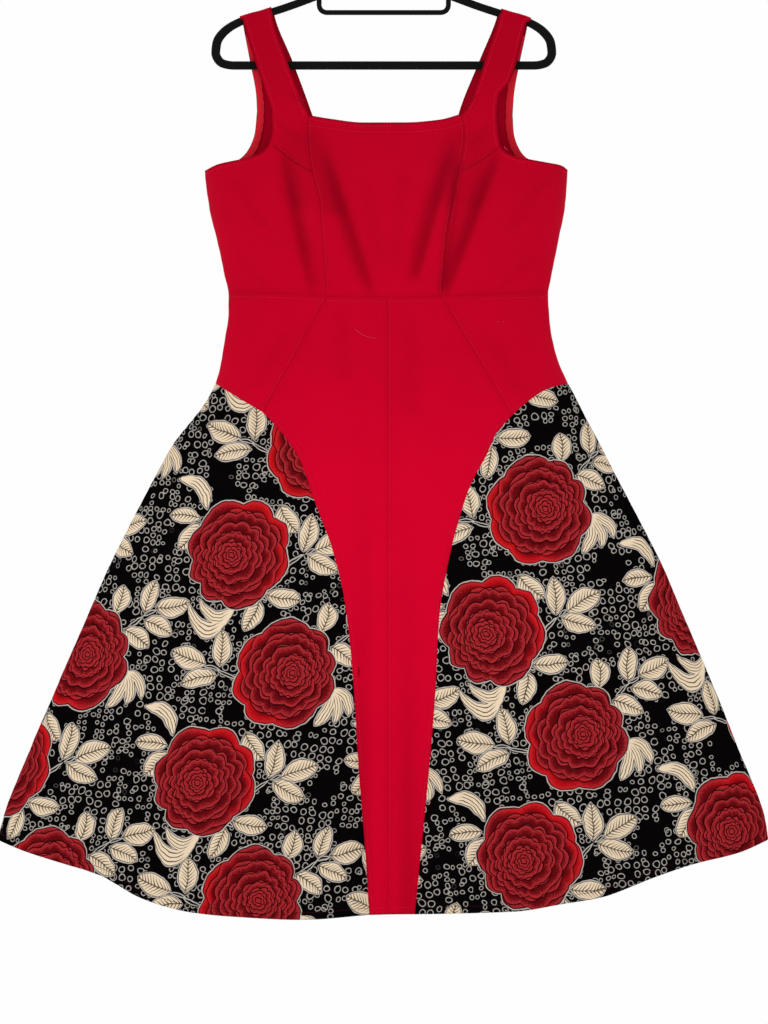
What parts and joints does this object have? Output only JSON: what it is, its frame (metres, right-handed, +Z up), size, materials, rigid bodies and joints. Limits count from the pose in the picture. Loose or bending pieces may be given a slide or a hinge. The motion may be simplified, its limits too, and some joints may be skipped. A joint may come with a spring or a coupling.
{
  "type": "flare dress on its hanger",
  "caption": "Sleeveless flared dress with wide shoulder straps, plain fitted bodice and hip yoke, and printed skirt panels, hanging on a flocked hanger with a wire hook.",
  "frame": {"origin": "inner top of the hanger's wire hook, where it lies on its rail", "axes": "+Z up, +X to the right seen from the dress's front, +Y from the front to the back"},
  "size_m": [0.993, 0.1903, 1.3288],
  "materials": {
    "red_cotton": "matt plain weave",
    "printed_cotton": "matt print on a black ground",
    "binding_cotton": "matt plain weave",
    "black_flock": "short velvet pile",
    "steel": "polished wire"
  },
  "bodies": {
    "root": {"bodice_centre_front": "red_cotton", "bodice_side_front_left": "red_cotton", "bodice_side_front_right": "red_cotton", "hip_yoke_front_left": "red_cotton", "hip_yoke_front_right": "red_cotton", "skirt_centre_front_left": "red_cotton", "skirt_centre_front_right": "red_cotton", "skirt_print_front_left": "printed_cotton", "skirt_print_front_right": "printed_cotton", "bodice_back_left": "red_cotton", "bodice_back_right": "red_cotton", "hip_yoke_back_left": "red_cotton", "hip_yoke_back_right": "red_cotton", "skirt_back_left": "printed_cotton", "skirt_back_right": "printed_cotton", "armhole_binding_left": "binding_cotton", "armhole_binding_right": "binding_cotton", "hanger_frame": "black_flock", "hanger_hook": "steel"}
  },
  "joints": []
}
